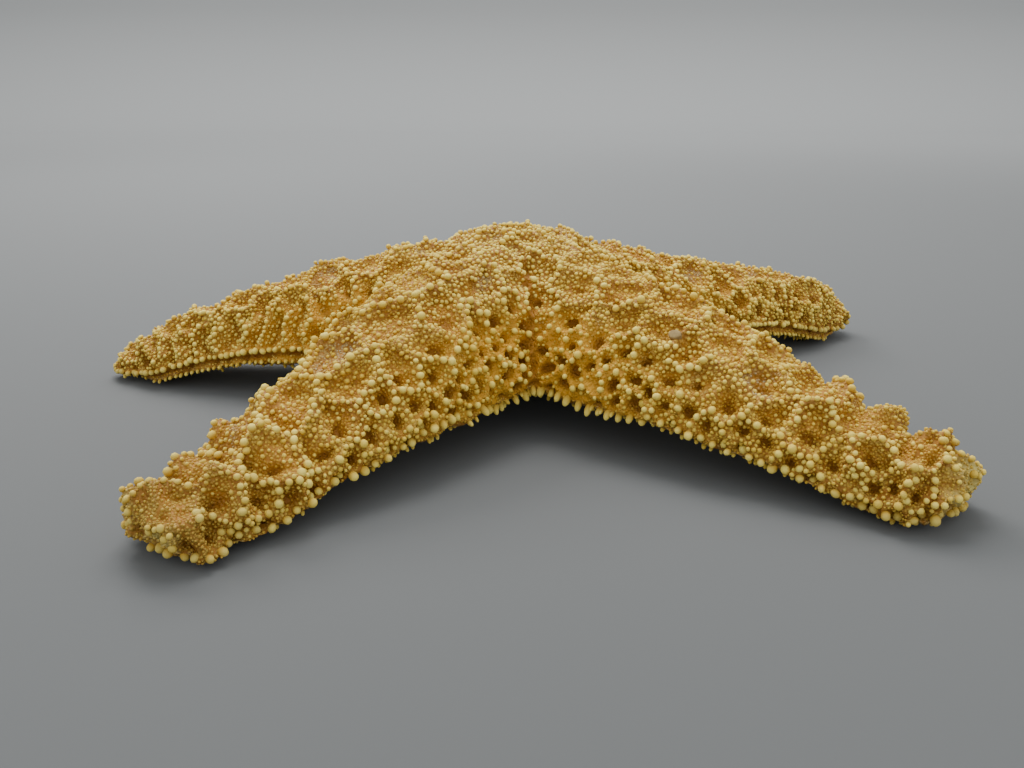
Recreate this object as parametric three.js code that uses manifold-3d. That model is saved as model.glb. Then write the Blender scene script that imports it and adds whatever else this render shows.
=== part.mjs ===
// A dried five-armed starfish, as one solid.
//
// The animal dried in one piece: a low central disc runs without a joint into five stout arms. It is arched,
// so it stands on the undersides of its five arm tips and its mouth is clear of the surface. Each arm has a
// domed back, steep sides and a flat underside, with a groove that runs from the mouth to the tip.
// The outer surface here is the one that touches the tops of the knobs that cover the animal.
//
// Units are millimetres and +Z is up. The origin is on the resting surface, at the middle of the outline.

import * as THREE from "three";
import { mergeVertices } from "three/addons/utils/BufferGeometryUtils.js";
import Module from "manifold-3d";

const wasm = await Module();
wasm.setup();

// ------------------------------------------------ driving dimensions

const armReach = 106; // centre of the disc to the tip of an average arm
const backHeight = 40; // top of the disc above the surface
const rootHalfWidth = 25.5; // half the width of an arm where it meets the disc
const mouthHeight = 7.5; // underside of the disc above the surface
const discRadius = 36; // centre of the disc to the web between two arms
const footDepth = 1; // how much of each tip's underside is worn flat by the surface
const mouthRadius = 9;
const mouthDepth = 8;
const grooveHalfWidth = 3.6; // half the width of the groove at the mouth
const grooveDepth = 5; // depth of the groove at the mouth

// Each arm: its heading in plan, its share of the average reach, how far its tip curves to the left,
// its share of the average width, how slender its tip is (0 is blunt, 1 is drawn out), how far its back dips
// near the disc and rises again towards the tip, and how far its tip is turned up (0 lies down, 1 is lifted).
const arms = [
  { heading: 25, reach: 1.045, curve: 1.5, girth: 0.86, slender: 0.5, dip: 2.7, lift: 0.7 }, // right
  { heading: 100, reach: 0.98, curve: 3, girth: 1, slender: 0.4, dip: 0, lift: 0.5 }, // back
  { heading: 172.5, reach: 1, curve: 7.5, girth: 0.94, slender: 1, dip: 0.4, lift: 0.1 }, // left
  { heading: 235.3, reach: 0.98, curve: -1.2, girth: 1.05, slender: 0, dip: -1.4, lift: 0.8 }, // front left
  { heading: 315.8, reach: 1.01, curve: 2.4, girth: 1.05, slender: 0, dip: 0.7, lift: 0.65 }, // front right
];

// ------------------------------------------------ how an arm changes from the disc to its tip

// A height or width along the arm, read off a smooth curve through [share of the reach, value] points.
function alongArm(points) {
  const curve = new THREE.SplineCurve(points.map(([share, value]) => new THREE.Vector2(share, value)));
  const table = curve.getPoints(200);
  return (share) => {
    const next = table.findIndex((point) => point.x >= share);
    if (next <= 0) return table.at(next).y;
    const [from, to] = [table[next - 1], table[next]];
    return THREE.MathUtils.mapLinear(share, from.x, to.x, from.y, to.y);
  };
}

const crestHeight = alongArm([
  [0, backHeight],
  [0.2, backHeight - 1.6],
  [0.5, backHeight - 9.8],
  [0.75, backHeight - 20.3],
  [1, backHeight - 29],
]);
const undersideHeight = alongArm([
  [0, mouthHeight],
  [0.3, mouthHeight - 0.5],
  [0.5, mouthHeight - 0.6],
  [0.7, mouthHeight - 3],
  [0.83, mouthHeight - 6.6],
  [0.89, -footDepth],
  [1, -footDepth],
]);
const halfWidth = alongArm([
  [0, rootHalfWidth],
  [0.25, rootHalfWidth * 0.85],
  [0.5, rootHalfWidth * 0.74],
  [0.75, rootHalfWidth * 0.54],
  [1, rootHalfWidth * 0.38],
]);

// A dip of 1 near the disc that turns into a rise of 1 towards the tip.
const dipAlongArm = (share) => Math.sin(2 * Math.PI * share ** 1.45);

// The share of its full size that a section keeps as the arm closes at its tip.
function tipClosing(share, slender) {
  const length = THREE.MathUtils.lerp(0.06, 0.28, slender);
  const into = THREE.MathUtils.clamp((share - (1 - length)) / length, 0, 1);
  return Math.sqrt(1 - into ** 2.4);
}

// ------------------------------------------------ sweeping a section along an arm

// Both sides of an outline that is given from its top middle to its bottom middle.
function bothSides(half) {
  const other = half.slice(1, -1).map(([side, rise]) => [-side, rise]);
  return [...half, ...other.reverse()];
}

// A closed solid along one arm. It starts as a sphere whose rings are spread along the arm. The function
// place gives each ring its section: [across, height] for a share of the reach and a point of the outline.
function sweptSolid(arm, outline, stations, start, end, place) {
  const length = armReach * arm.reach;
  const sphere = new THREE.SphereGeometry(1, outline.length, stations);
  const points = sphere.getAttribute("position");
  for (let i = 0; i < points.count; i++) {
    const ring = Math.floor(i / (outline.length + 1));
    const [side, rise] = outline[(i % (outline.length + 1)) % outline.length];
    const share = Math.sin((Math.PI / 2) * (ring / stations)) ** 1.25;
    const isEnd = ring === 0 || ring === stations;
    const [across, height] = isEnd ? place(share, 0, arm.lift) : place(share, side, rise);
    const along = THREE.MathUtils.lerp(start, end * length, share);
    points.setXYZ(i, along, arm.curve * share ** 2 + across, height);
  }
  return solidOf(sphere.rotateZ(THREE.MathUtils.degToRad(arm.heading)));
}

const rootOverlap = 8; // how far each arm runs back past the centre of the disc

// Half of an arm's section: [share of half width, share of thickness].
const armOutline = bothSides([
  [0, 1],
  [0.34, 0.94],
  [0.65, 0.77],
  [0.88, 0.5],
  [1, 0.2],
  [0.97, 0.06],
  [0.82, 0],
  [0.4, 0],
  [0, 0],
]);

function armSolid(arm) {
  return sweptSolid(arm, armOutline, 22, -rootOverlap, 1, (share, side, rise) => {
    const size = tipClosing(share, arm.slender);
    const under = undersideHeight(share);
    const thickness = crestHeight(share) - arm.dip * dipAlongArm(share) - under;
    const across = side * halfWidth(share) * arm.girth * size;
    return [across, under + THREE.MathUtils.lerp(arm.lift, rise, size) * thickness];
  });
}

// Half of the groove's section, a low vault that is open below: [share of half width, share of depth].
const grooveOutline = bothSides([
  [0, 1],
  [0.6, 0.8],
  [1, 0.2],
  [1.1, -0.6],
  [0, -0.6],
]);

// The groove tapers to nothing just short of the tip.
function grooveSolid(arm) {
  return sweptSolid(arm, grooveOutline, 10, 0, 0.95, (share, side, rise) => {
    const taper = 1 - 0.65 * share;
    return [side * grooveHalfWidth * taper, undersideHeight(share) + rise * grooveDepth * taper];
  });
}

// ------------------------------------------------ the disc and the mouth

// A solid turned about the middle of the disc, from [radius, height] points.
function turnedSolid(profile, segments) {
  const outline = profile.map(([radius, height]) => new THREE.Vector2(radius, height));
  return solidOf(new THREE.LatheGeometry(outline, segments).rotateX(Math.PI / 2));
}

// Between the arms the disc shows as a short sloping web.
function discSolid() {
  const profile = [
    [0, mouthHeight + 1],
    [discRadius - 3, mouthHeight + 1],
    [discRadius, mouthHeight + 4],
    [discRadius - 4, mouthHeight + 13],
    [discRadius - 12, backHeight - 9],
    [discRadius - 22, backHeight - 2.5],
    [discRadius - 29, backHeight - 0.4],
    [0, backHeight],
  ];
  return turnedSolid(profile, 40);
}

function mouthSolid() {
  const profile = [
    [0, mouthHeight - 2],
    [mouthRadius, mouthHeight - 2],
    [mouthRadius - 1, mouthHeight + mouthDepth * 0.5],
    [mouthRadius - 4, mouthHeight + mouthDepth * 0.9],
    [0, mouthHeight + mouthDepth],
  ];
  return turnedSolid(profile, 20);
}

// ------------------------------------------------ joining

function solidOf(geometry) {
  const bare = geometry.clone();
  bare.deleteAttribute("normal");
  bare.deleteAttribute("uv");
  const merged = mergeVertices(bare, 1e-3);
  const mesh = new wasm.Mesh({
    numProp: 3,
    vertProperties: merged.getAttribute("position").array,
    triVerts: new Uint32Array(merged.index.array),
  });
  return new wasm.Manifold(mesh);
}

function geometryOf(solid) {
  const mesh = solid.getMesh();
  return new THREE.BufferGeometry()
    .setAttribute("position", new THREE.BufferAttribute(mesh.vertProperties, 3))
    .setIndex(new THREE.BufferAttribute(mesh.triVerts, 1));
}

let body = discSolid();
for (const arm of arms) {
  body = body.add(armSolid(arm));
}
for (const arm of arms) {
  body = body.subtract(grooveSolid(arm));
}
body = body.subtract(mouthSolid());

// The surface has worn the tips flat.
const surface = new THREE.BoxGeometry(4 * armReach, 4 * armReach, 20).translate(0, 0, -10);
body = body.subtract(solidOf(surface));

const starfishGeometry = geometryOf(body);
starfishGeometry.computeBoundingBox();
const middle = starfishGeometry.boundingBox.getCenter(new THREE.Vector3());
starfishGeometry.translate(-middle.x, -middle.y, 0);

const driedSkin = new THREE.MeshStandardMaterial({ color: 0xb98d4f, roughness: 0.85, metalness: 0 });
const starfish = new THREE.Mesh(starfishGeometry, driedSkin);
starfish.name = "starfish";

const part = new THREE.Group();
part.add(starfish);

export default part;
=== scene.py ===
import math

import bpy
import numpy as np
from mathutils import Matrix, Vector, kdtree, noise
from mathutils.bvhtree import BVHTree


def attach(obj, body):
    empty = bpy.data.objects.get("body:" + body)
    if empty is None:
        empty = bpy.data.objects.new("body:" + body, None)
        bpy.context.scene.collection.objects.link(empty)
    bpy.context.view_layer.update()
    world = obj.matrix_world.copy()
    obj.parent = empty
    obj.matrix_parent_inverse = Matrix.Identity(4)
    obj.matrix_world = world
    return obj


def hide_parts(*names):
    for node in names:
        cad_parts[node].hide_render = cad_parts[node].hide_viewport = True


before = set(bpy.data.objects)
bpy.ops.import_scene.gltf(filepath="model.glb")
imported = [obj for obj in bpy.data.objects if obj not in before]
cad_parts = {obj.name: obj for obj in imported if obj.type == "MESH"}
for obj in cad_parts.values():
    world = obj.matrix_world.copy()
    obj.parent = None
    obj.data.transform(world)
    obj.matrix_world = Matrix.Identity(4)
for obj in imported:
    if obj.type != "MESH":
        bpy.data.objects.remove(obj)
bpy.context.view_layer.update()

bpy.ops.object.select_all(action="DESELECT")


# ---------------------------------------------------------------- the skin
# One tough hide over a mesh of small chalky plates. It grew over the disc and all five arms without a seam.
# It dried hard: the plates stand up as a net of low ridges, and the soft skin between them sank into pits.

MM = 0.001
disc_centre = Vector((2.95, -7.15, 0)) * MM

# Each arm: heading in degrees, reach from the middle of the disc, and how far its tip curves to the left.
arms = {
    "right": (25, 110.8 * MM, 1.5 * MM),
    "back": (100, 103.9 * MM, 3 * MM),
    "left": (172.5, 106 * MM, 7.5 * MM),
    "front_left": (235.3, 103.9 * MM, -1.2 * MM),
    "front_right": (315.8, 107.1 * MM, 2.4 * MM),
}
arm_names = list(arms)
arm_headings = np.radians([heading for heading, _, _ in arms.values()])
arm_reaches = np.array([reach for _, reach, _ in arms.values()])
arm_curves = np.array([curve for _, _, curve in arms.values()])
knob_height = 1.6 * MM  # how far the largest knobs stand above the skin
coarse_grain = 0.8 * MM
fine_grain = 0.46 * MM
skin_faces = 168000
same_point = 0.01 * MM
above_table = 0.05 * MM  # where the lowest points lie

skin = bpy.data.objects.new("skin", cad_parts["starfish"].data.copy())
bpy.context.collection.objects.link(skin)
skin.select_set(True)
bpy.context.view_layer.objects.active = skin
bpy.ops.object.mode_set(mode="EDIT")
bpy.ops.mesh.select_all(action="SELECT")
bpy.ops.mesh.remove_doubles(threshold=same_point)
bpy.ops.object.mode_set(mode="OBJECT")


def finish_with(piece, kind, **settings):
    """Adds one modifier to a piece and applies it."""
    modifier = piece.modifiers.new(kind.title(), kind)
    for setting, value in settings.items():
        setattr(modifier, setting, value)
    bpy.context.view_layer.objects.active = piece
    bpy.ops.object.modifier_apply(modifier=modifier.name)


def remeshed(piece, grain):
    """Gives a piece one closed even mesh, with faces of about the grain's size."""
    piece.data.remesh_voxel_size = grain
    bpy.context.view_layer.objects.active = piece
    bpy.ops.object.voxel_remesh()


remeshed(skin, coarse_grain)
finish_with(skin, "SMOOTH", factor=0.5, iterations=24)
finish_with(skin, "DISPLACE", strength=-knob_height, mid_level=0)
remeshed(skin, fine_grain)
finish_with(skin, "SMOOTH", factor=0.5, iterations=8)


def read(mesh, what):
    """The places or normals of a mesh's points, as rows of three numbers."""
    rows = np.empty(len(mesh.vertices) * 3, np.float32)
    mesh.vertices.foreach_get(what, rows)
    return rows.reshape(-1, 3).astype(float)


def ramp(values, low, high):
    """0 up to low, 1 from high, and smooth in between. Low may be above high."""
    share = np.clip((values - low) / (high - low), 0, 1)
    return share * share * (3 - 2 * share)


def bell(values, width):
    """1 at 0, and smoothly down to almost nothing at twice the width."""
    return np.exp(-((values / width) ** 2))


def wander(points, size, seed, depth=2):
    """Smooth noise between about -1 and 1, whose waves are about size long."""
    shift = Vector((seed * 7.3, seed * 3.1, seed * 5.7))
    return np.array([noise.fractal(Vector(p) / size + shift, 0.9, 2.0, depth) for p in points])


def arm_places(points):
    """For each point, the number of its arm and how far along and across that arm it lies."""
    flat = points[:, :2] - np.array(disc_centre[:2])
    bearing = np.arctan2(flat[:, 1], flat[:, 0])
    turn = np.abs((bearing[:, None] - arm_headings + np.pi) % (2 * np.pi) - np.pi)
    nearest = turn.argmin(1)
    cosine, sine = np.cos(arm_headings)[nearest], np.sin(arm_headings)[nearest]
    along = flat[:, 0] * cosine + flat[:, 1] * sine
    bend = arm_curves[nearest] * (along / arm_reaches[nearest]) ** 2
    across = flat[:, 1] * cosine - flat[:, 0] * sine - bend
    return nearest, along, across


smooth_places = read(skin.data, "co")
smooth_normals = read(skin.data, "normal")
on_arm, along_arm, across_arm = arm_places(smooth_places)
arm_share = along_arm / arm_reaches[on_arm]


def on_arms(*names):
    """Which points of the skin lie on the named arms."""
    return np.isin(on_arm, [arm_names.index(name) for name in names])


fore = on_arms("front_left", "front_right").astype(float)
facing_up = smooth_normals[:, 2]
upper = ramp(facing_up, -0.45, -0.15)  # 1 on the back and sides, 0 on the underside
crown = ramp(facing_up, 0.45, 0.85)  # 1 on top of the disc and arms
near_tip = ramp(arm_share, 0.72, 0.95)  # 1 at the arms' tips
from_centre = np.hypot(smooth_places[:, 0] - disc_centre.x, smooth_places[:, 1] - disc_centre.y)
on_disc = ramp(from_centre, 32 * MM, 16 * MM)  # 1 on the middle of the disc
flank = ramp(facing_up, 0.75, 0.55) * upper  # 1 on the steep sides


class Crowd:
    """Keeps things that are planted on the skin clear of each other.

    It sorts them into boxes, which are wider than any two of them need between their middles.
    """

    def __init__(self, box):
        self.box = box
        self.boxes = {}

    def admits(self, place, radius, spread):
        x, y, z = (int(v // self.box) for v in place)
        for i in (x - 1, x, x + 1):
            for j in (y - 1, y, y + 1):
                for k in (z - 1, z, z + 1):
                    for px, py, pz, other in self.boxes.get((i, j, k), ()):
                        gap = (radius + other) * spread
                        if (px - place[0]) ** 2 + (py - place[1]) ** 2 + (pz - place[2]) ** 2 < gap * gap:
                            return False
        return True

    def add(self, place, radius):
        key = tuple(int(v // self.box) for v in place)
        self.boxes.setdefault(key, []).append((*place, radius))


def scattered(rng, places, chosen, radii, crowd, spread=1.0):
    """Picks points in a random order, each as far from the others as their two radii ask."""
    kept = []
    for i in rng.permutation(np.flatnonzero(chosen)):
        place = tuple(places[i])
        if crowd.admits(place, radii[i], spread):
            crowd.add(place, radii[i])
            kept.append(i)
    return np.array(kept, int)


# Where two arms' flanks meet, a crease runs from the disc down to the web. The skin beside it is nearly
# bare, and along its middle it is painted darker and redder: painted shade in the crease.
crease_width = 1.1 * MM
bare_width = 21 * MM
crease_shade_width = 4 * MM
middle_ways = (arm_headings + np.roll(arm_headings, -1) + np.array([0, 0, 0, 0, 2 * np.pi])) / 2
flat = smooth_places[:, :2] - np.array(disc_centre[:2])
crease = np.zeros(len(smooth_places))
bare_web = np.zeros(len(smooth_places))
crease_middle_shade = np.zeros(len(smooth_places))
for way in middle_ways:
    outward = flat[:, 0] * math.cos(way) + flat[:, 1] * math.sin(way)
    aside = flat[:, 1] * math.cos(way) - flat[:, 0] * math.sin(way)
    crease += bell(aside, crease_width) * ramp(outward, 8 * MM, 17 * MM) * upper
    bare_web += bell(aside, bare_width) * ramp(outward, 16 * MM, 24 * MM)
    # Painted shade: a dark red band down the middle of each crease.
    crease_middle_shade += 0.8 * bell(aside, crease_shade_width) * ramp(outward, 14 * MM, 24 * MM) * upper
bare_web *= flank * ramp(smooth_places[:, 2], 31 * MM, 22 * MM)

# The net: its meshes are wide on top of the arms, closer on the disc, and small on the sides.
rng = np.random.default_rng(11)
mesh_radius = 2.0 + crown * (2.2 - 1.3 * on_disc) - 0.3 * near_tip - 0.4 * np.clip(bare_web, 0, 1)
mesh_radius *= MM * rng.uniform(0.85, 1.2, len(smooth_places))
sway_size = 5 * MM
sway_reach = 1.1 * MM
cells = scattered(rng, smooth_places, upper > 0.1, mesh_radius, Crowd(12 * MM))
cell_tree = kdtree.KDTree(len(cells))
for number, place in enumerate(smooth_places[cells]):
    cell_tree.insert(place, number)
cell_tree.balance()
sway = np.stack([wander(smooth_places, sway_size, seed) for seed in (9, 10, 12)], 1)
nearest_cells = [cell_tree.find_n(place, 3) for place in smooth_places + sway_reach * sway]
gaps = np.array([[found[2] for found in three] for three in nearest_cells])
beside = np.array([[found[1] for found in three] for three in nearest_cells])
own_cell = beside[:, 0]
ridge_gap = gaps[:, 1] - gaps[:, 0]

# On the sides of the left and back arms the ridges stand side by side like ribs.
rib_spacing = 5.6 * MM
ribbed = flank * on_arms("left", "back")
ribbed *= ramp(arm_share, 0.25, 0.4) * (1 - near_tip)
ribbed *= ramp(wander(smooth_places, 9 * MM, 5), -0.55, 0.0)
rib_turn = along_arm / rib_spacing + 0.6 * wander(smooth_places, 9 * MM, 3)
rib_gap = 2 * np.abs(rib_turn % 1 - 0.5) * rib_spacing
ridge_gap = ridge_gap * (1 - ribbed) + rib_gap * ribbed

# Most ridges are strong and carry a row of knobs, and the rest are faint. The sine's long digits give each
# pair of neighbouring meshes its own fixed random number.
pair = np.sort(beside[:, :2], axis=1)
ridge_mood = (np.sin(pair[:, 0] * 12.9898 + pair[:, 1] * 78.233) * 43758.5453) % 1
strong = np.where((ridge_mood < 0.6) | (ribbed > 0.5), 1.0, 0.35)
ridge = bell(ridge_gap, 1.5 * MM) * upper * strong
knot = bell(gaps[:, 2] - gaps[:, 0], 1.7 * MM) * upper * (1 - ribbed)
hollow = ramp(ridge_gap, 1.2 * MM, 4 * MM) * upper

# Meshes on the sides sink into round pits. On top some are bare grey skin and the rest are full of grains.
cell_mood = rng.uniform(0, 1, len(cells))[own_cell]
pit_radius = rng.uniform(1.0, 1.75, len(cells))[own_cell] * MM
pitted = ramp(facing_up[cells], 0.9, 0.7)[own_cell] * (cell_mood < 0.9) * (1 - ribbed)
pit = ramp(gaps[:, 0], 1.25 * pit_radius, 0.45 * pit_radius) * pitted * upper * (1 - np.clip(crease, 0, 1))
pit = np.maximum(pit, 0.5 * ribbed * ramp(rib_gap, 2.8 * MM, 5 * MM))
grey = ramp(cell_mood, 0.55, 0.68) * crown * (1 - near_tip) * ramp(ridge_gap, 0.8 * MM, 3 * MM)
grey *= ramp(wander(smooth_places, 4 * MM, 6), -0.45, 0.25)

# The rear arms' sides end below in a ledge of plates, with a narrow groove and a thinner ledge under it.
rear_arms = ("left", "back", "right")
ledge_step = 1.3 * MM  # from the ledge down to the groove, and from the groove to the lower ledge
ray_drop = 20 * MM  # how far below the underside a line of sight starts
ray_height = 80 * MM  # and above the back
tip_round = 8 * MM  # the radius of an arm's tip, seen from above
skin_tree = BVHTree.FromObject(skin, bpy.context.evaluated_depsgraph_get())


def way_out(start, way):
    """Where a line that starts inside the skin comes out through it."""
    place = start
    for _ in range(9):
        place, normal, _, _ = skin_tree.ray_cast(place, way)
        if place is None:
            return None, None
        if normal.dot(way) > 0:
            return place, normal
        place = place + way * (0.05 * MM)  # it met the inner side of a fold, and goes on
    return None, None


def near_web(along):
    """0 out along an arm, and 1 in by the webs, where the edge of the underside climbs."""
    return ramp(along, 62 * MM, 36 * MM)


def edge_row(name, share, spacing, fall=0.75):
    """Evenly spaced places round one arm's side, at a share of its thickness above its underside.

    Towards the disc that share falls, by fall.
    """
    heading, reach, curve = arms[name]
    turn = math.radians(heading)
    forward = Vector((math.cos(turn), math.sin(turn), 0))
    leftward = Vector((-math.sin(turn), math.cos(turn), 0))
    straight = np.arange(14 * MM, reach - tip_round, 0.4 * MM)
    stations = [(along, 90) for along in straight]
    stations += [(reach - tip_round, degrees) for degrees in range(90, -91, -3)]
    stations += [(along, -90) for along in straight[::-1]]
    row = []
    for along, degrees in stations:
        angle = math.radians(degrees)
        way = forward * math.cos(angle) + leftward * math.sin(angle)
        start = disc_centre + forward * along + leftward * (curve * (along / reach) ** 2)
        start += way * (4 * MM * (1 - 0.5 * along / reach))
        below, _, _, _ = skin_tree.ray_cast(start - Vector((0, 0, ray_drop)), Vector((0, 0, 1)))
        above, _, _, _ = skin_tree.ray_cast(start + Vector((0, 0, ray_height)), Vector((0, 0, -1)))
        if below is None or above is None:
            continue
        start.z = below.z + share * (1 - fall * near_web(along)) * (above.z - below.z)
        place, normal = way_out(start, way)
        if place is None or arm_places(np.array([place]))[0][0] != arm_names.index(name):
            continue
        if not row or (place - row[-1][0]).length >= spacing:
            row.append((place, normal, way))
    return row


ledges = {name: edge_row(name, share=0.2, spacing=0.4 * MM, fall=0.4) for name in rear_arms}
ledge_places = np.array([place for row in ledges.values() for place, _, _ in row])
ledge_tree = kdtree.KDTree(len(ledge_places))
for number, (x, y, _) in enumerate(ledge_places):
    ledge_tree.insert((x, y, 0), number)
ledge_tree.balance()
nearest_ledge = [ledge_tree.find((x, y, 0)) for x, y, _ in smooth_places]
by_ledge = ramp(np.array([found[2] for found in nearest_ledge]), 4.5 * MM, 2.5 * MM)
steps_down = ledge_places[[found[1] for found in nearest_ledge], 2] - smooth_places[:, 2]
steps_down /= ledge_step
ledge = (bell(steps_down, 0.5) + 0.6 * bell(steps_down - 2, 0.45)) * by_ledge
ledge_groove = bell(steps_down - 1, 0.5) * by_ledge

# Lumps, and the lobes that each front arm's back breaks into towards its tip.
front_lobes = (
    # arm, first lobe's distance from the middle, spacing, height, all in millimetres
    ("front_left", 81, 9.3, 1.8),
    ("front_right", 79, 9.2, 1.3),
)
lumps = wander(smooth_places, 12 * MM, 1) * (0.9 + 0.2 * near_tip)
lumps += wander(smooth_places, 4.5 * MM, 2) * (0.4 + 0.6 * near_tip)
lumps += 0.42 * wander(smooth_places, 2 * MM, 4, 1) * (1 - 0.5 * bare_web + 1.5 * near_tip)
for name, first, spacing, height in front_lobes:
    lobe = np.cos(2 * np.pi * (along_arm / MM - first) / spacing)
    lobe *= ramp(along_arm / MM, first - 11, first - 1) * ramp(facing_up, 0.1, 0.6)
    lobe *= ramp(arm_share, 0.985, 0.945) if name == "front_right" else 1
    lumps += height * lobe * on_arms(name)
rise = lumps + (0.9 + 0.4 * crown) * ridge + 0.3 * knot - 1.6 * pit - 1.2 * crease
rise -= (0.8 + 0.45 * crown - 0.3 * on_disc + 0.4 * ribbed) * hollow * (1 - 0.5 * bare_web)
rise = rise * (1 - 0.6 * np.clip(ledge + ledge_groove, 0, 1)) + 0.6 * ledge - 0.9 * ledge_groove
skin_places = smooth_places + smooth_normals * (rise * MM)[:, None]

# The front right arm's tip is blunt: its end is pushed back and its back stands as high as before it.
end_lift = 2.4 * MM
end_push = 1.3 * MM
blunt_end = on_arms("front_right") * ramp(arm_share, 0.86, 0.97)
skin_places[:, 2] += end_lift * blunt_end * ramp(smooth_places[:, 2], 1 * MM, 8 * MM)
end_heading = arm_headings[arm_names.index("front_right")]
end_way = np.array([math.cos(end_heading), math.sin(end_heading)])
skin_places[:, :2] -= (end_push * blunt_end * arm_share)[:, None] * end_way
skin_places[:, 2] = np.maximum(skin_places[:, 2], above_table)  # the feet dried flat on what they lay on
skin.data.vertices.foreach_set("co", skin_places.astype(np.float32).ravel())


def give(mesh, name, values):
    """Stores one number for each point of a mesh, for its material to read."""
    attribute = mesh.attributes.new(name, "FLOAT", "POINT")
    attribute.data.foreach_set("value", np.asarray(values, np.float32))


# The pit mark paints dark brown. In the pits this is partly the sunken skin's own colour and partly painted
# shade. In the crease and in the groove under the ledge it is painted shade.
give(skin.data, "pit", np.clip(pit + 0.6 * crease + 0.8 * ledge_groove, 0, 1))
# Rust carries painted shade down the crease's middle, and a rusty tone in the net's hollows.
rust_and_crease_shade = np.clip(crease_middle_shade + 0.42 * hollow * (1 - on_disc) * (1 - 0.5 * bare_web) * (1 - 0.7 * ribbed), 0, 1)
give(skin.data, "rust_and_crease_shade", rust_and_crease_shade)
give(skin.data, "ridge", np.clip(ridge + 0.5 * knot + 0.8 * ribbed + 0.7 * on_disc * crown, 0, 1))
give(skin.data, "grey", grey)
give(skin.data, "tip", near_tip * np.where(on_arms("front_left"), 1, 0.5))
give(skin.data, "bare_web", np.clip(bare_web, 0, 1))
give(skin.data, "under", 1 - upper)
crust = ramp(arm_share, 0.95, 0.99) * ramp(wander(smooth_places, 4 * MM, 8), -0.4, 0.3)
give(skin.data, "crust", crust)
finish_with(skin, "DECIMATE", ratio=min(1, skin_faces / (2 * len(skin.data.polygons))))
bpy.ops.object.shade_smooth()
skin_tree = BVHTree.FromObject(skin, bpy.context.evaluated_depsgraph_get())


def new_material(name, roughness):
    """A dull material, its node tree, and its shader."""
    material = bpy.data.materials.new(name)
    material.use_nodes = True
    shader = material.node_tree.nodes["Principled BSDF"]
    shader.inputs["Roughness"].default_value = roughness
    shader.inputs["Specular IOR Level"].default_value = 0.35
    return material, material.node_tree, shader


def add_node(tree, kind, **settings):
    """Adds one node and sets its inputs, or its own properties where it has no such input."""
    made = tree.nodes.new(kind)
    for setting, value in settings.items():
        if setting in made.inputs:
            made.inputs[setting].default_value = value
        else:
            setattr(made, setting, value)
    return made


def attribute(tree, name):
    return add_node(tree, "ShaderNodeAttribute", attribute_name=name).outputs["Fac"]


def noise_at(tree, size, detail=3):
    """Noise in the object's own space, whose patches are about size across."""
    space = add_node(tree, "ShaderNodeTexCoord")
    cloud = add_node(tree, "ShaderNodeTexNoise", Scale=1 / size, Detail=detail)
    tree.links.new(space.outputs["Object"], cloud.inputs["Vector"])
    return cloud.outputs["Fac"]


def spread_of(tree, value, low, high):
    """Stretches a value so that low becomes 0 and high becomes 1."""
    stretch = add_node(tree, "ShaderNodeMapRange")
    tree.links.new(value, stretch.inputs["Value"])
    stretch.inputs["From Min"].default_value = low
    stretch.inputs["From Max"].default_value = high
    return stretch.outputs["Result"]


def mixed(tree, share, first, second):
    """A colour mix. Either colour may be a plain colour or another node's output."""
    mix = add_node(tree, "ShaderNodeMix", data_type="RGBA")
    tree.links.new(share, mix.inputs["Factor"])
    for socket, colour in ((mix.inputs[6], first), (mix.inputs[7], second)):
        if isinstance(colour, tuple):
            socket.default_value = (*colour, 1)
        else:
            tree.links.new(colour, socket)
    return mix.outputs[2]


def bump(tree, shader, height, depth, strength=1.0):
    relief = add_node(tree, "ShaderNodeBump", Strength=strength, Distance=depth)
    tree.links.new(height, relief.inputs["Height"])
    tree.links.new(relief.outputs["Normal"], shader.inputs["Normal"])


def granules(tree, size):
    """How far each spot is from the middle of its own grain of skin: 0 there, about 0.7 between grains."""
    space = add_node(tree, "ShaderNodeTexCoord")
    pattern = add_node(tree, "ShaderNodeTexVoronoi", Scale=1 / size)
    tree.links.new(space.outputs["Object"], pattern.inputs["Vector"])
    return pattern.outputs["Distance"]


orange_skin = (0.55, 0.30, 0.035)
ridge_skin = (0.64, 0.43, 0.075)
web_skin = (0.64, 0.315, 0.015)
pit_brown_and_recess_shade = (0.31, 0.125, 0.008)
speck_and_grain_gap_shade = (0.28, 0.115, 0.007)
grey_skin = (0.37, 0.315, 0.17)
rust_and_crease_shade_skin = (0.46, 0.19, 0.008)
tip_skin = (0.33, 0.215, 0.03)
granule_highlight_gold = (0.72, 0.49, 0.10)
crust_skin = (0.72, 0.60, 0.18)
under_skin = (0.50, 0.32, 0.09)
granule_size = 0.62 * MM
granule_depth = 0.4 * MM

# Each line lays one more colour over the ones before it, where its pattern or its mark on the skin says.
skin_material, tree, shader = new_material("dried_skin", 0.62)
grain_edges = granules(tree, granule_size)
colour = mixed(tree, spread_of(tree, noise_at(tree, 6 * MM), 0.38, 0.62), orange_skin, ridge_skin)
colour = mixed(tree, attribute(tree, "ridge"), colour, ridge_skin)
colour = mixed(tree, spread_of(tree, noise_at(tree, 9 * MM, 4), 0.45, 0.68), colour, rust_and_crease_shade_skin)
colour = mixed(tree, attribute(tree, "tip"), colour, tip_skin)
colour = mixed(tree, attribute(tree, "grey"), colour, grey_skin)
colour = mixed(tree, attribute(tree, "under"), colour, under_skin)
# Painted highlight: each granule of skin is painted lighter gold at its middle.
colour = mixed(tree, spread_of(tree, grain_edges, 0.4, 0.0), colour, granule_highlight_gold)
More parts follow.
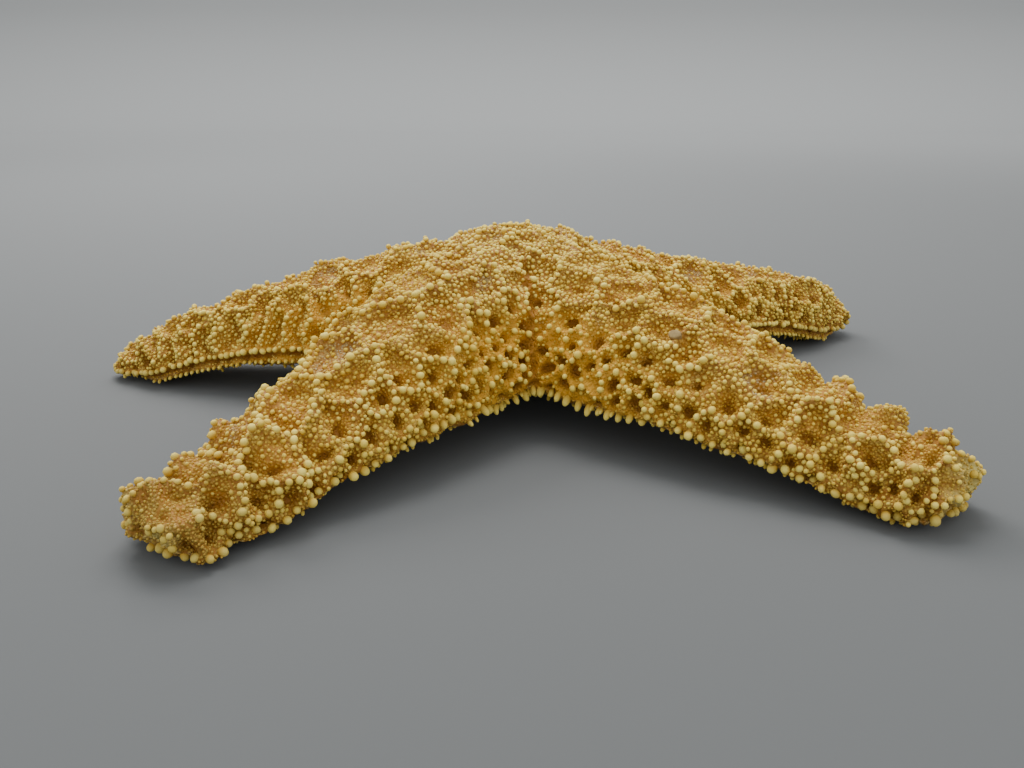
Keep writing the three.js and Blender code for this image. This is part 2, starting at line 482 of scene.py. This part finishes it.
# Painted shade: the gaps between granules are painted dark brown. The next line adds random dark brown
# specks.
colour = mixed(tree, spread_of(tree, grain_edges, 0.3, 0.75), colour, speck_and_grain_gap_shade)
colour = mixed(tree, spread_of(tree, noise_at(tree, 2.5 * MM, 2), 0.55, 0.35), colour, speck_and_grain_gap_shade)
colour = mixed(tree, attribute(tree, "crust"), colour, crust_skin)
colour = mixed(tree, attribute(tree, "bare_web"), colour, web_skin)
# Painted shade down the middle of each crease, and a rusty tone in the hollows.
colour = mixed(tree, spread_of(tree, attribute(tree, "rust_and_crease_shade"), 0, 1.1), colour, rust_and_crease_shade_skin)
# Dark brown in the pits, partly their own colour and partly painted shade, and painted shade in the crease
# and the ledge groove.
colour = mixed(tree, spread_of(tree, attribute(tree, "pit"), 0.15, 0.9), colour, pit_brown_and_recess_shade)
tree.links.new(colour, shader.inputs["Base Color"])
bump(tree, shader, spread_of(tree, grain_edges, 0.7, 0.0), granule_depth, 0.9)
skin.data.materials.clear()
skin.data.materials.append(skin_material)
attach(skin, "root")
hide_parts("starfish")


# ---------------------------------------------------------------- the pegs along the arms' edges
# Two rows of blunt chalky pegs edge every arm, from web to tip and back. The upper row hangs down and
# outward with pale ends, and a finer row stands below it. Each is jointed to a plate of the skeleton.


def peg(segments, rings, body, point):
    """One peg of radius 1 and half height 1 along +Z. Body and point scale the width of its two halves."""
    bpy.ops.object.select_all(action="DESELECT")
    bpy.ops.mesh.primitive_uv_sphere_add(segments=segments, ring_count=rings, radius=1)
    made = bpy.context.active_object
    bpy.ops.object.mode_set(mode="EDIT")
    bpy.ops.mesh.select_mode(type="VERT")
    bpy.ops.mesh.select_all(action="DESELECT")
    bpy.ops.object.mode_set(mode="OBJECT")
    for vertex in made.data.vertices:
        vertex.select = -0.95 < vertex.co.z < -0.1
    bpy.ops.object.mode_set(mode="EDIT")
    bpy.ops.transform.resize(value=(body, body, 1))
    bpy.ops.mesh.select_all(action="DESELECT")
    bpy.ops.object.mode_set(mode="OBJECT")
    for vertex in made.data.vertices:
        vertex.select = 0.1 < vertex.co.z < 0.95
    bpy.ops.object.mode_set(mode="EDIT")
    bpy.ops.transform.resize(value=(point, point, 1))
    bpy.ops.object.mode_set(mode="OBJECT")
    return made


def planted(
    name, pattern, places, ways, radii, stretch, rng,
    lean=0.15, sink=0.38, marks=None, tints=(0, 1),
):
    """One mesh of many copies of a small shape that stand on the skin. The shape itself is removed.

    Each points its own way, leans a little at random, and has that share of its height sunk in the skin.
    """
    shape = read(pattern.data, "co")
    loops = np.empty(len(pattern.data.loops), np.int32)
    pattern.data.loops.foreach_get("vertex_index", loops)
    sizes = np.array([len(face.vertices) for face in pattern.data.polygons])
    bpy.data.objects.remove(pattern)
    count = len(places)
    up = ways + rng.normal(0, lean, (count, 3))
    up /= np.linalg.norm(up, axis=1)[:, None]
    side = np.cross(up, rng.normal(0, 1, (count, 3)))
    side /= np.linalg.norm(side, axis=1)[:, None]
    third = np.cross(up, side)
    widths = radii[:, None] * rng.uniform(0.88, 1.12, (count, 2))
    heights = radii * stretch * rng.uniform(0.85, 1.15, count)
    points = (
        places[:, None]
        + shape[None, :, :1] * (side * widths[:, :1])[:, None]
        + shape[None, :, 1:2] * (third * widths[:, 1:])[:, None]
        + (shape[None, :, 2:] + 1 - 2 * sink) * (up * heights[:, None])[:, None]
    )
    points[:, :, 2] = np.maximum(points[:, :, 2], above_table)
    mesh = bpy.data.meshes.new(name)
    mesh.vertices.add(count * len(shape))
    mesh.vertices.foreach_set("co", points.astype(np.float32).ravel())
    corners = loops[None] + (np.arange(count) * len(shape))[:, None]
    mesh.loops.add(corners.size)
    mesh.loops.foreach_set("vertex_index", corners.astype(np.int32).ravel())
    mesh.polygons.add(count * len(sizes))
    starts = np.concatenate([[0], np.cumsum(np.tile(sizes, count))[:-1]])
    mesh.polygons.foreach_set("loop_start", starts.astype(np.int32))
    mesh.update(calc_edges=True)
    mesh.validate()
    # Top runs from 0 at each copy's foot to 1 at its head. The knob and grain materials use it to paint
    # shade towards the foot.
    give(mesh, "top", np.tile(ramp(shape[:, 2], -0.6, 0.9), count))
    give(mesh, "tint", np.repeat(rng.uniform(*tints, count), len(shape)))
    for mark, values in (marks or {}).items():
        give(mesh, mark, np.repeat(values, len(shape)))
    bead_map(mesh, shape, loops, count)
    piece = bpy.data.objects.new(name, mesh)
    bpy.context.collection.objects.link(piece)
    bpy.ops.object.select_all(action="DESELECT")
    piece.select_set(True)
    bpy.context.view_layer.objects.active = piece
    bpy.ops.object.shade_smooth()
    return piece


def bead_map(mesh, shape, loops, count):
    """Lays each copy out on its own small square of a map, top in the middle and foot at the rim."""
    columns = math.ceil(math.sqrt(count))
    fall = np.arccos(np.clip(shape[:, 2] / np.linalg.norm(shape, axis=1), -1, 1)) / math.pi
    turn = np.arctan2(shape[:, 1], shape[:, 0])
    disc = 0.5 + 0.46 * (fall * np.array([np.cos(turn), np.sin(turn)])).T
    numbers = np.arange(count)
    corner = np.stack([numbers % columns, numbers // columns], 1)
    spots = (corner[:, None] + disc[loops][None]) / columns
    layer = mesh.uv_layers.new(name="OFBake")
    layer.data.foreach_set("uv", spots.astype(np.float32).ravel())


def settle(piece, material):
    """Gives a finished piece its material, its body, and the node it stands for."""
    piece.data.materials.append(material)
    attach(piece, "root")
    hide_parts("starfish")


cream = (0.87, 0.70, 0.15)
pale_yellow = (0.78, 0.57, 0.09)
golden_knob = (0.66, 0.44, 0.05)
painted_shade_foot = (0.52, 0.30, 0.03)
tip_olive = (0.56, 0.42, 0.10)

knob_material, tree, shader = new_material("chalky_knobs", 0.8)
shader.inputs["Specular IOR Level"].default_value = 0.2
colour = mixed(tree, attribute(tree, "tint"), golden_knob, pale_yellow)
colour = mixed(tree, spread_of(tree, attribute(tree, "tint"), 0.5, 1), colour, cream)
colour = mixed(tree, spread_of(tree, noise_at(tree, 9 * MM), 0.45, 0.75), colour, cream)
colour = mixed(tree, spread_of(tree, attribute(tree, "pale"), 0, 1.5), colour, cream)
colour = mixed(tree, spread_of(tree, attribute(tree, "tip"), 0, 1.3), colour, tip_olive)
# Painted shade: each knob is painted darker orange low on its sides, towards its foot.
colour = mixed(tree, attribute(tree, "top"), painted_shade_foot, colour)
tree.links.new(colour, shader.inputs["Base Color"])
bump(tree, shader, noise_at(tree, 0.35 * MM, 2), 0.06 * MM)

down = Vector((0, 0, -1))
rng = np.random.default_rng(31)


def spaced(row, spacing):
    """Leaves out the places of a row that lie too near the last one kept."""
    kept = row[:1]
    for spot in row[1:]:
        if (spot[0] - kept[-1][0]).length >= spacing:
            kept.append(spot)
    return kept


def on_ledge(name, spacing, drop):
    """Places along a rear arm's ledge, or some way below it, on the finished skin."""
    row = []
    for place, _, way in spaced(ledges[name], spacing):
        start = place - way * (3 * MM) - Vector((0, 0, min(drop, place.z - 0.5 * MM)))
        foot, normal = way_out(start, way)
        if foot is not None and (foot - start).length < 6 * MM:
            row.append((foot, normal, way))
    return row


row = []
for name in arms:
    if name in rear_arms:
        row += on_ledge(name, spacing=1.62 * MM, drop=0)
    else:
        row += edge_row(name, share=0.1, spacing=2.2 * MM)
places = np.array([place for place, _, _ in row])
along = arm_places(places)[1]
by_web = near_web(along)
outward_ways = np.array([normal * 0.6 + way * 0.4 for _, normal, way in row])
rear = np.isin(arm_places(places)[0], [arm_names.index(name) for name in rear_arms])
by_web *= 1 - rear
hang = (0.35 + 0.75 * by_web - 0.15 * rear)[:, None] * np.array(down)
ways = outward_ways + hang
radii = (0.8 - 0.05 * by_web - 0.08 * rear) * MM * rng.uniform(0.85, 1.15, len(row))
stretch = 1.05 + 0.75 * by_web
usual_reach = 100 * MM
tips = {"tip": ramp(along / usual_reach, 0.75, 0.95)}
shape = peg(8, 6, 1.05, 1)
upper_pegs = planted(
    "upper_edge_pegs", shape, places, ways, radii, stretch, rng,
    lean=0.1, sink=0.25, marks=tips, tints=(0.7, 1),
)
settle(upper_pegs, knob_material)

# Nothing else may stand where a peg does, so each peg is given a little more room than its radius.
peg_room = 1.15
crowd = Crowd(2.6 * MM)
for place, radius in zip(places, radii):
    crowd.add(place, peg_room * radius)

# The finer row stands a little way in, under the first.
fine_row = []
for name in rear_arms:
    for place, _, way in on_ledge(name, spacing=1.35 * MM, drop=2 * ledge_step):
        fine_row.append((place, (way * 0.8 + down * 0.45).normalized()))
for name in ("front_left", "front_right"):
    for place, _, way in edge_row(name, share=0.1, spacing=1.5 * MM):
        inset = (2.2 + 2 * near_web((place - disc_centre).length)) * MM
        start = place - way * inset + down * ray_drop
        foot, _, _, _ = skin_tree.ray_cast(start, -down)
        if foot is not None:
            fine_row.append((foot, (way * 0.45 + down).normalized()))
places = np.array([place for place, _ in fine_row])
ways = np.array([way for _, way in fine_row])
radii = 0.48 * MM * rng.uniform(0.88, 1.12, len(fine_row))
tips = {"tip": ramp(arm_places(places)[1] / usual_reach, 0.75, 0.95)}
shape = peg(6, 4, 1.05, 1)
lower_pegs = planted(
    "lower_edge_pegs", shape, places, ways, radii, 1.5, rng,
    lean=0.1, sink=0.25, marks=tips,
)
settle(lower_pegs, knob_material)
room_below = 1.2 * MM
room_above = 0.5 * MM
lower_crowd = Crowd(4 * MM)
for place in places:
    lower_crowd.add(place, room_below)
    crowd.add(place, room_above)


# ---------------------------------------------------------------- the sieve plate
# A small round chalky button with fine grooves that fan out from its middle. It is grown into the disc's
# back, off centre between the back and right arms, and sea water was drawn in through it.

sieve_radius = 2.6 * MM
sieve_heading = math.radians(62)
sieve_offset = 14 * MM
sieve_flatness = 0.48
sieve_grooves = 18
groove_depth = 0.13 * MM
dimple_depth = 0.25 * MM
seat_lift = 0.1 * MM


def on_skin(x, y):
    """The skin's highest place above a spot, and its normal there."""
    place, normal, _, _ = skin_tree.ray_cast(Vector((x, y, ray_height)), down)
    return place, normal


def seat(piece, place, normal):
    """Stands a piece that is modelled flat at the origin on the skin, and applies its place."""
    piece.location = place
    piece.rotation_euler = normal.to_track_quat("Z", "Y").to_euler()
    bpy.ops.object.transform_apply(location=True, rotation=True, scale=True)


x = disc_centre.x + sieve_offset * math.cos(sieve_heading)
y = disc_centre.y + sieve_offset * math.sin(sieve_heading)
sieve_place, sieve_normal = on_skin(x, y)
sieve_normal = (sieve_normal + Vector((0, 0, 2))).normalized()  # it lies flatter than the skin round it
bpy.ops.object.select_all(action="DESELECT")
bpy.ops.mesh.primitive_uv_sphere_add(segments=72, ring_count=20, radius=sieve_radius)
sieve = bpy.context.active_object
sieve.name = "sieve_plate"
bpy.ops.object.mode_set(mode="EDIT")
bpy.ops.transform.resize(value=(1, 1, sieve_flatness))
bpy.ops.object.mode_set(mode="OBJECT")
for vertex in sieve.data.vertices:
    turn = math.atan2(vertex.co.y, vertex.co.x)
    share = math.hypot(vertex.co.x, vertex.co.y) / sieve_radius
    curl = turn + 0.5 * math.sin(3 * share + 1)
    vertex.co.z += groove_depth * math.cos(sieve_grooves * curl) * min(1, 2.5 * share) * (vertex.co.z > 0)
    vertex.co.z -= dimple_depth * math.exp(-((share / 0.25) ** 2)) * (vertex.co.z > 0)
seat(sieve, sieve_place + sieve_normal * seat_lift, sieve_normal)
bpy.ops.object.shade_smooth()
sieve_bone = (0.74, 0.60, 0.36)
sieve_groove = (0.44, 0.27, 0.08)
sieve_material, tree, shader = new_material("sieve_plate", 0.6)
colour = mixed(tree, spread_of(tree, noise_at(tree, 0.7 * MM), 0.42, 0.6), sieve_bone, sieve_groove)
tree.links.new(colour, shader.inputs["Base Color"])
bump(tree, shader, noise_at(tree, 0.3 * MM, 2), 0.05 * MM)
settle(sieve, sieve_material)


# ---------------------------------------------------------------- the bare plate
# One plate of the skeleton lies bare on the front right arm, where its knob has come away.
# It is a flat many-sided scale of mauve-brown lime, held all round by the dried hide.

plate_spot = (33.6 * MM, -48.4 * MM)
plate_tilt = Vector((-0.1, -1.1, 0.8))  # it faces more to the front than the hide round it
plate_radius = 1.4 * MM
plate_thickness = 1.4 * MM
plate_width = 0.82  # of its length
plate_rounding = 0.28 * MM

plate_place, plate_normal = on_skin(*plate_spot)
plate_normal = (plate_normal + plate_tilt).normalized()
bpy.ops.object.select_all(action="DESELECT")
bpy.ops.mesh.primitive_cylinder_add(vertices=7, radius=plate_radius, depth=plate_thickness)
plate = bpy.context.active_object
plate.name = "bare_plate"
bpy.ops.object.mode_set(mode="EDIT")
bpy.ops.transform.resize(value=(1, plate_width, 1))
bpy.ops.mesh.bevel(offset=plate_rounding, segments=3)
bpy.ops.object.mode_set(mode="OBJECT")
seat(plate, plate_place + plate_normal * seat_lift, plate_normal)
bpy.ops.object.shade_smooth()
plate_mauve = (0.25, 0.165, 0.06)
plate_pale = (0.33, 0.23, 0.09)
plate_material, tree, shader = new_material("bare_plate", 0.8)
colour = mixed(tree, spread_of(tree, noise_at(tree, 1.2 * MM), 0.4, 0.65), plate_mauve, plate_pale)
tree.links.new(colour, shader.inputs["Base Color"])
bump(tree, shader, noise_at(tree, 0.4 * MM, 2), 0.06 * MM)
settle(plate, plate_material)


# ---------------------------------------------------------------- the knobs of the back
# Blunt chalky spines with round heads, each grown on a plate of the net. The largest stand in rows along
# the ridges, smaller ones crowd round them, and the skin between is sown with grains.


def knob(segments, rings, flat_top=0.9, neck=0.9):
    """One knob of radius 1, standing along +Z, with a slightly flat top and a waist below the head."""
    bpy.ops.object.select_all(action="DESELECT")
    bpy.ops.mesh.primitive_uv_sphere_add(segments=segments, ring_count=rings, radius=1)
    made = bpy.context.active_object
    bpy.ops.object.mode_set(mode="EDIT")
    bpy.ops.mesh.select_all(action="DESELECT")
    bpy.ops.mesh.select_mode(type="VERT")
    bpy.ops.object.mode_set(mode="OBJECT")
    for vertex in made.data.vertices:
        vertex.select = vertex.co.z < -0.2
    bpy.ops.object.mode_set(mode="EDIT")
    bpy.ops.transform.resize(value=(neck, neck, 1))
    bpy.ops.mesh.select_all(action="DESELECT")
    bpy.ops.object.mode_set(mode="OBJECT")
    for vertex in made.data.vertices:
        vertex.select = vertex.co.z > 0.2
    bpy.ops.object.mode_set(mode="EDIT")
    bpy.ops.transform.resize(value=(1, 1, flat_top), center_override=(0, 0, 0))
    bpy.ops.object.mode_set(mode="OBJECT")
    return made


light_grain = (0.72, 0.51, 0.06)
dark_grain = (0.44, 0.23, 0.02)
rust_and_crease_shade_grain = (0.47, 0.225, 0.01)
grey_grain = (0.45, 0.38, 0.23)
pale_crust = (0.76, 0.61, 0.16)
tip_grain = (0.38, 0.245, 0.045)

grain_material, tree, shader = new_material("skin_grains", 0.65)
colour = mixed(tree, attribute(tree, "tint"), dark_grain, light_grain)
colour = mixed(tree, spread_of(tree, noise_at(tree, 9 * MM, 4), 0.45, 0.72), colour, rust_and_crease_shade_grain)
# The grains get the same painted shade along the creases, and the rusty tone in the hollows.
colour = mixed(tree, spread_of(tree, attribute(tree, "rust_and_crease_shade"), 0, 1.2), colour, rust_and_crease_shade_grain)
colour = mixed(tree, attribute(tree, "grey"), colour, grey_grain)
colour = mixed(tree, spread_of(tree, attribute(tree, "tip"), 0, 1.5), colour, tip_grain)
colour = mixed(tree, attribute(tree, "pale"), colour, pale_crust)
# Painted shade: each grain is painted darker towards its foot.
colour = mixed(tree, attribute(tree, "top"), painted_shade_foot, colour)
tree.links.new(colour, shader.inputs["Base Color"])

rng = np.random.default_rng(23)
everything = len(smooth_places)
round_sieve = 3.1 * MM
round_plate = 2.3 * MM
sown = (facing_up > 0.0) & (crease < 0.6) & (ledge_groove < 0.35)
sown &= np.linalg.norm(skin_places - np.array(sieve_place), axis=1) > round_sieve
sown &= np.linalg.norm(skin_places - np.array(plate_place), axis=1) > round_plate


def chance():
    """A new random number for each point of the skin."""
    return rng.uniform(0, 1, everything)


def halves(chosen):
    """Parts the chosen points at the disc's middle into front and rear, so that no mesh grows too large."""
    ahead = skin_places[chosen, 1] < disc_centre.y
    return (("front", chosen[ahead]), ("rear", chosen[~ahead]))


# The largest knobs stand only on strong ridges. By the webs most are missing, and many wore off at the
# front arms' tips.
web_odds = np.minimum(0.9, 1.1 * bare_web)
sizes = 0.64 + 0.12 * fore * (1 - on_disc) - 0.07 * near_tip
sizes *= rng.uniform(0.7, 1.22, everything) * MM
ground = sown & (ridge_gap < 1.1 * MM) & (strong > 0.5) & (pit < 0.4) & (chance() > web_odds)
ground &= (chance() > 0.5 * near_tip * fore) & (wander(smooth_places, 4 * MM, 14, 1) > -0.3)
dull_tip = near_tip * np.where(on_arms("front_left"), 1, 0.3)
tip_mark = np.clip(0.85 * dull_tip - 0.4 * crust, 0, 1)
big = scattered(rng, skin_places, ground, sizes, crowd, 0.92)
light_mark = np.maximum(on_disc, 0.7 * ribbed)
marks = {"tip": tip_mark[big], "pale": light_mark[big]}
places, ways = skin_places[big], smooth_normals[big]
big_knobs = planted("big_knobs", knob(8, 4), places, ways, sizes[big], 1, rng, marks=marks, tints=(0.4, 1))
settle(big_knobs, knob_material)

# Smaller knobs crowd along every ridge, and stand here and there in the meshes.
sizes = (rng.uniform(0.36, 0.62, everything) - 0.06 * near_tip) * MM
ground = sown & (pit < 0.35) & (chance() > web_odds) & (chance() > 0.7 * grey)
ground &= chance() > 0.97 * near_tip * fore
ground &= (ridge_gap < 1.9 * MM) | (chance() < 0.05 + 0.1 * crown + 0.5 * on_disc + 0.6 * ribbed)
small = scattered(rng, skin_places, ground, sizes, crowd, 0.93)
for side, some in halves(small):
    marks = {"tip": tip_mark[some], "pale": light_mark[some]}
    places, ways = skin_places[some], smooth_normals[some]
    shape = knob(6, 3)
    name = f"small_knobs_{side}"
    patch = planted(name, shape, places, ways, sizes[some], 1, rng, sink=0.42, marks=marks, tints=(0, 0.8))
    settle(patch, knob_material)

# Grains fill what is left, down to the edge. Pits, webs and grey skin have fewer.
pale_mark = np.clip(0.8 * crust + 0.6 * ribbed + 0.6 * on_disc, 0, 1)
sizes = rng.uniform(0.2, 0.36, everything) * MM
ground = (facing_up > -0.5) & (ledge_groove < 0.6) & (crease < 0.6) & (sown | (facing_up < 0.1))
ground &= (chance() > 0.95 * pit) & (chance() > np.minimum(0.85, bare_web)) & (chance() > 0.55 * grey)
grains = scattered(rng, skin_places, ground, sizes, crowd, 1.0)
for side, some in halves(grains):
    marks = {"pale": pale_mark[some], "grey": grey[some], "rust_and_crease_shade": rust_and_crease_shade[some], "tip": dull_tip[some]}
    places, ways = skin_places[some], smooth_normals[some]
    shape = knob(5, 3, neck=1)
    patch = planted(f"grains_{side}", shape, places, ways, sizes[some], 1, rng, sink=0.5, marks=marks)
    settle(patch, grain_material)


# ---------------------------------------------------------------- the underside
# A groove runs from the mouth to each tip. Slender chalky spines fence it and lean over it, dried tube feet
# stand in rows in it, longer spines close the mouth, and short pegs cover the skin out to the edge.


def below_skin(along, across, name):
    """The place on the underside straight below a spot on one arm, and the way to that arm's left."""
    heading, reach, curve = arms[name]
    turn = math.radians(heading)
    forward = Vector((math.cos(turn), math.sin(turn), 0))
    leftward = Vector((-math.sin(turn), math.cos(turn), 0))
    spot = disc_centre + forward * along + leftward * (across + curve * (along / reach) ** 2)
    place, _, _, _ = skin_tree.ray_cast(spot - Vector((0, 0, ray_drop)), Vector((0, 0, 1)))
    return place, leftward


groove_half_width = 3.6 * MM
groove_taper = 0.65  # how much narrower the groove is at the tip
mouth_radius = 9.6 * MM
groove_start = 10.5 * MM
groove_rows = (
    # name, gap from the groove's edge, spacing, radius, stretch, lean toward the groove
    ("groove_spines", 0.7 * MM, 1.3 * MM, 0.36 * MM, 4.2, 0.55),
    ("second_groove_spines", 2.1 * MM, 1.6 * MM, 0.46 * MM, 2.8, 0.1),
    ("tube_feet", -1.7 * MM, 1.5 * MM, 0.5 * MM, 1.9, 0.0),
)
tube_feet_material, tree, shader = new_material("dried_tube_feet", 0.45)
foot_amber = (0.42, 0.17, 0.03)
foot_straw = (0.62, 0.36, 0.10)
colour = mixed(tree, attribute(tree, "tint"), foot_amber, foot_straw)
tree.links.new(colour, shader.inputs["Base Color"])
bump(tree, shader, noise_at(tree, 0.4 * MM, 2), 0.08 * MM)

rng = np.random.default_rng(37)
for row_name, gap, spacing, radius, stretch, toward in groove_rows:
    row = []
    for name, (_, reach, _) in arms.items():
        for along in np.arange(groove_start, 0.93 * reach, spacing):
            taper = 1 - groove_taper * along / reach
            for side in (-1, 1):
                edge = groove_half_width * taper + gap * (taper if gap < 0 else 1)
                place, leftward = below_skin(along, side * edge, name)
                if place is not None:
                    row.append((place, (down - leftward * (side * toward)).normalized()))
    places = np.array([place for place, _ in row])
    ways = np.array([way for _, way in row])
    radii = radius * rng.uniform(0.85, 1.12, len(row))
    shape = peg(5, 3, 1, 0.8)
    spines = planted(row_name, shape, places, ways, radii, stretch, rng, lean=0.12, sink=0.2)
    if row_name == "tube_feet":
        settle(spines, tube_feet_material)
    else:
        settle(spines, knob_material)

row = []
for way in middle_ways:
    for aside in (-9, -3, 3, 9):
        turn = way + math.radians(aside)
        outward = Vector((math.cos(turn), math.sin(turn), 0))
        spot = disc_centre + outward * mouth_radius - Vector((0, 0, ray_drop))
        place, _, _, _ = skin_tree.ray_cast(spot, Vector((0, 0, 1)))
        row.append((place, (down * 0.45 - outward).normalized()))
places = np.array([place for place, _ in row])
ways = np.array([way for _, way in row])
radii = 0.5 * MM * rng.uniform(0.9, 1.1, len(row))
shape = peg(6, 5, 1, 0.7)
mouth_spines = planted("mouth_spines", shape, places, ways, radii, 5, rng, lean=0.08, sink=0.2)
settle(mouth_spines, knob_material)

sizes = rng.uniform(0.42, 0.62, everything) * MM
clear_of_groove = np.abs(across_arm) > groove_half_width * (1 - groove_taper * arm_share) + 3 * MM
ground = (facing_up < -0.5) & clear_of_groove & (from_centre > 12 * MM)
belly = scattered(rng, skin_places, ground, sizes, lower_crowd, 1.9)
places, ways = skin_places[belly], smooth_normals[belly]
belly_pegs = planted("underside_pegs", peg(5, 4, 1, 0.9), places, ways, sizes[belly], 1.7, rng, sink=0.3)
settle(belly_pegs, knob_material)


# ---------------------------------------------------------------- the stage
# A pale grey matt table that curves up at the back into its own backdrop, in one sheet without a corner.
# Soft light falls on it from a window behind and a lamp above, and one more lamp washes the backdrop.

table_half_width = 3.0
table_back = 1.0
cove_step = 0.035
backdrop_height = 2
table_grey = (0.118, 0.121, 0.12, 1)
room_light = (0.93, 0.97, 1.0, 1)
room_strength = 1.2

bpy.ops.object.select_all(action="DESELECT")
bpy.ops.mesh.primitive_plane_add(size=2 * table_half_width, location=(0, table_back - table_half_width, 0))
table = bpy.context.active_object
table.name = "table"
for edge in table.data.edges:
    edge.select = all(table.data.vertices[i].co.y > 0 for i in edge.vertices)
for vertex in table.data.vertices:
    vertex.select = vertex.co.y > 0
for face in table.data.polygons:
    face.select = False
bpy.ops.object.mode_set(mode="EDIT")
bpy.ops.mesh.select_mode(type="EDGE")
for turn in range(1, 10):
    angle = math.radians(10 * turn - 5)
    bpy.ops.mesh.extrude_region_move(
        TRANSFORM_OT_translate={"value": (0, cove_step * math.cos(angle), cove_step * math.sin(angle))}
    )
bpy.ops.mesh.extrude_region_move(TRANSFORM_OT_translate={"value": (0, 0, backdrop_height)})
bpy.ops.object.mode_set(mode="OBJECT")
bpy.ops.object.shade_smooth()
table_material, tree, shader = new_material("table_grey", 0.9)
shader.inputs["Base Color"].default_value = table_grey
table.data.materials.append(table_material)

world = bpy.data.worlds.new("soft_room")
bpy.context.scene.world = world
world.use_nodes = True
world.node_tree.nodes["Background"].inputs["Color"].default_value = room_light
world.node_tree.nodes["Background"].inputs["Strength"].default_value = room_strength


def soft_light(name, place, size, power, aim=(0, 0, 0)):
    """A flat lamp of a given width and height, which shines at a spot with a power in watts."""
    lamp = bpy.data.lights.new(name, "AREA")
    lamp.shape = "RECTANGLE"
    lamp.size, lamp.size_y = size
    lamp.energy = power
    made = bpy.data.objects.new(name, lamp)
    made.location = place
    made.rotation_euler = (Vector(aim) - Vector(place)).to_track_quat("-Z", "Y").to_euler()
    bpy.context.collection.objects.link(made)


soft_light("window", (-0.3, 0.42, 0.5), (0.3, 0.3), 3.2)
soft_light("lamp_above", (0, 0.12, 0.45), (0.25, 0.25), 1.6)
soft_light("backdrop_wash", (0, 0.75, 1.1), (2.4, 0.4), 76, (0, 1.6, 0.4))

lens_length = 29.5
eye_place = (1.55 * MM, -206.15 * MM, 72.8 * MM)
looking_down = 20.1  # degrees below level
camera = bpy.data.objects.new("camera", bpy.data.cameras.new("camera"))
camera.data.lens = lens_length
camera.location = eye_place
camera.rotation_euler = (math.radians(90 - looking_down), 0, 0)
camera.data.clip_start = 5 * MM
bpy.context.collection.objects.link(camera)
bpy.context.scene.camera = camera
